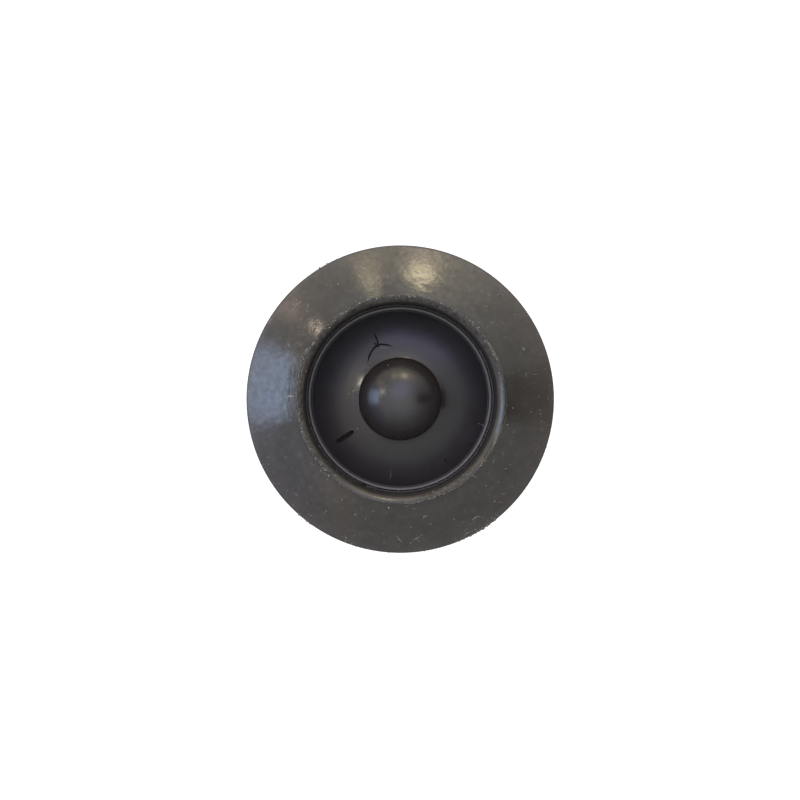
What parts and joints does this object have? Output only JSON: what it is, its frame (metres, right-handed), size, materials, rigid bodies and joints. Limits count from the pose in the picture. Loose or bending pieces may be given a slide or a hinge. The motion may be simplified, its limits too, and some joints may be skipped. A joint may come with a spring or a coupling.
{
  "type": "drain plug",
  "caption": "Round black rubber push-in drain plug: sloping sealing skirt, sunken bell-shaped core with a central knob, and a plain tapered stem.",
  "frame": {"origin": "the plug's axis at the seating plane, on which the skirt's edge seals", "axes": "+Z along the plug's axis, out of the drain, so that the stem points along -Z"},
  "size_m": [0.036, 0.036, 0.0161],
  "materials": {
    "black_rubber": "satin, dusty"
  },
  "bodies": {
    "root": {"drain_plug": "black_rubber"}
  },
  "joints": []
}
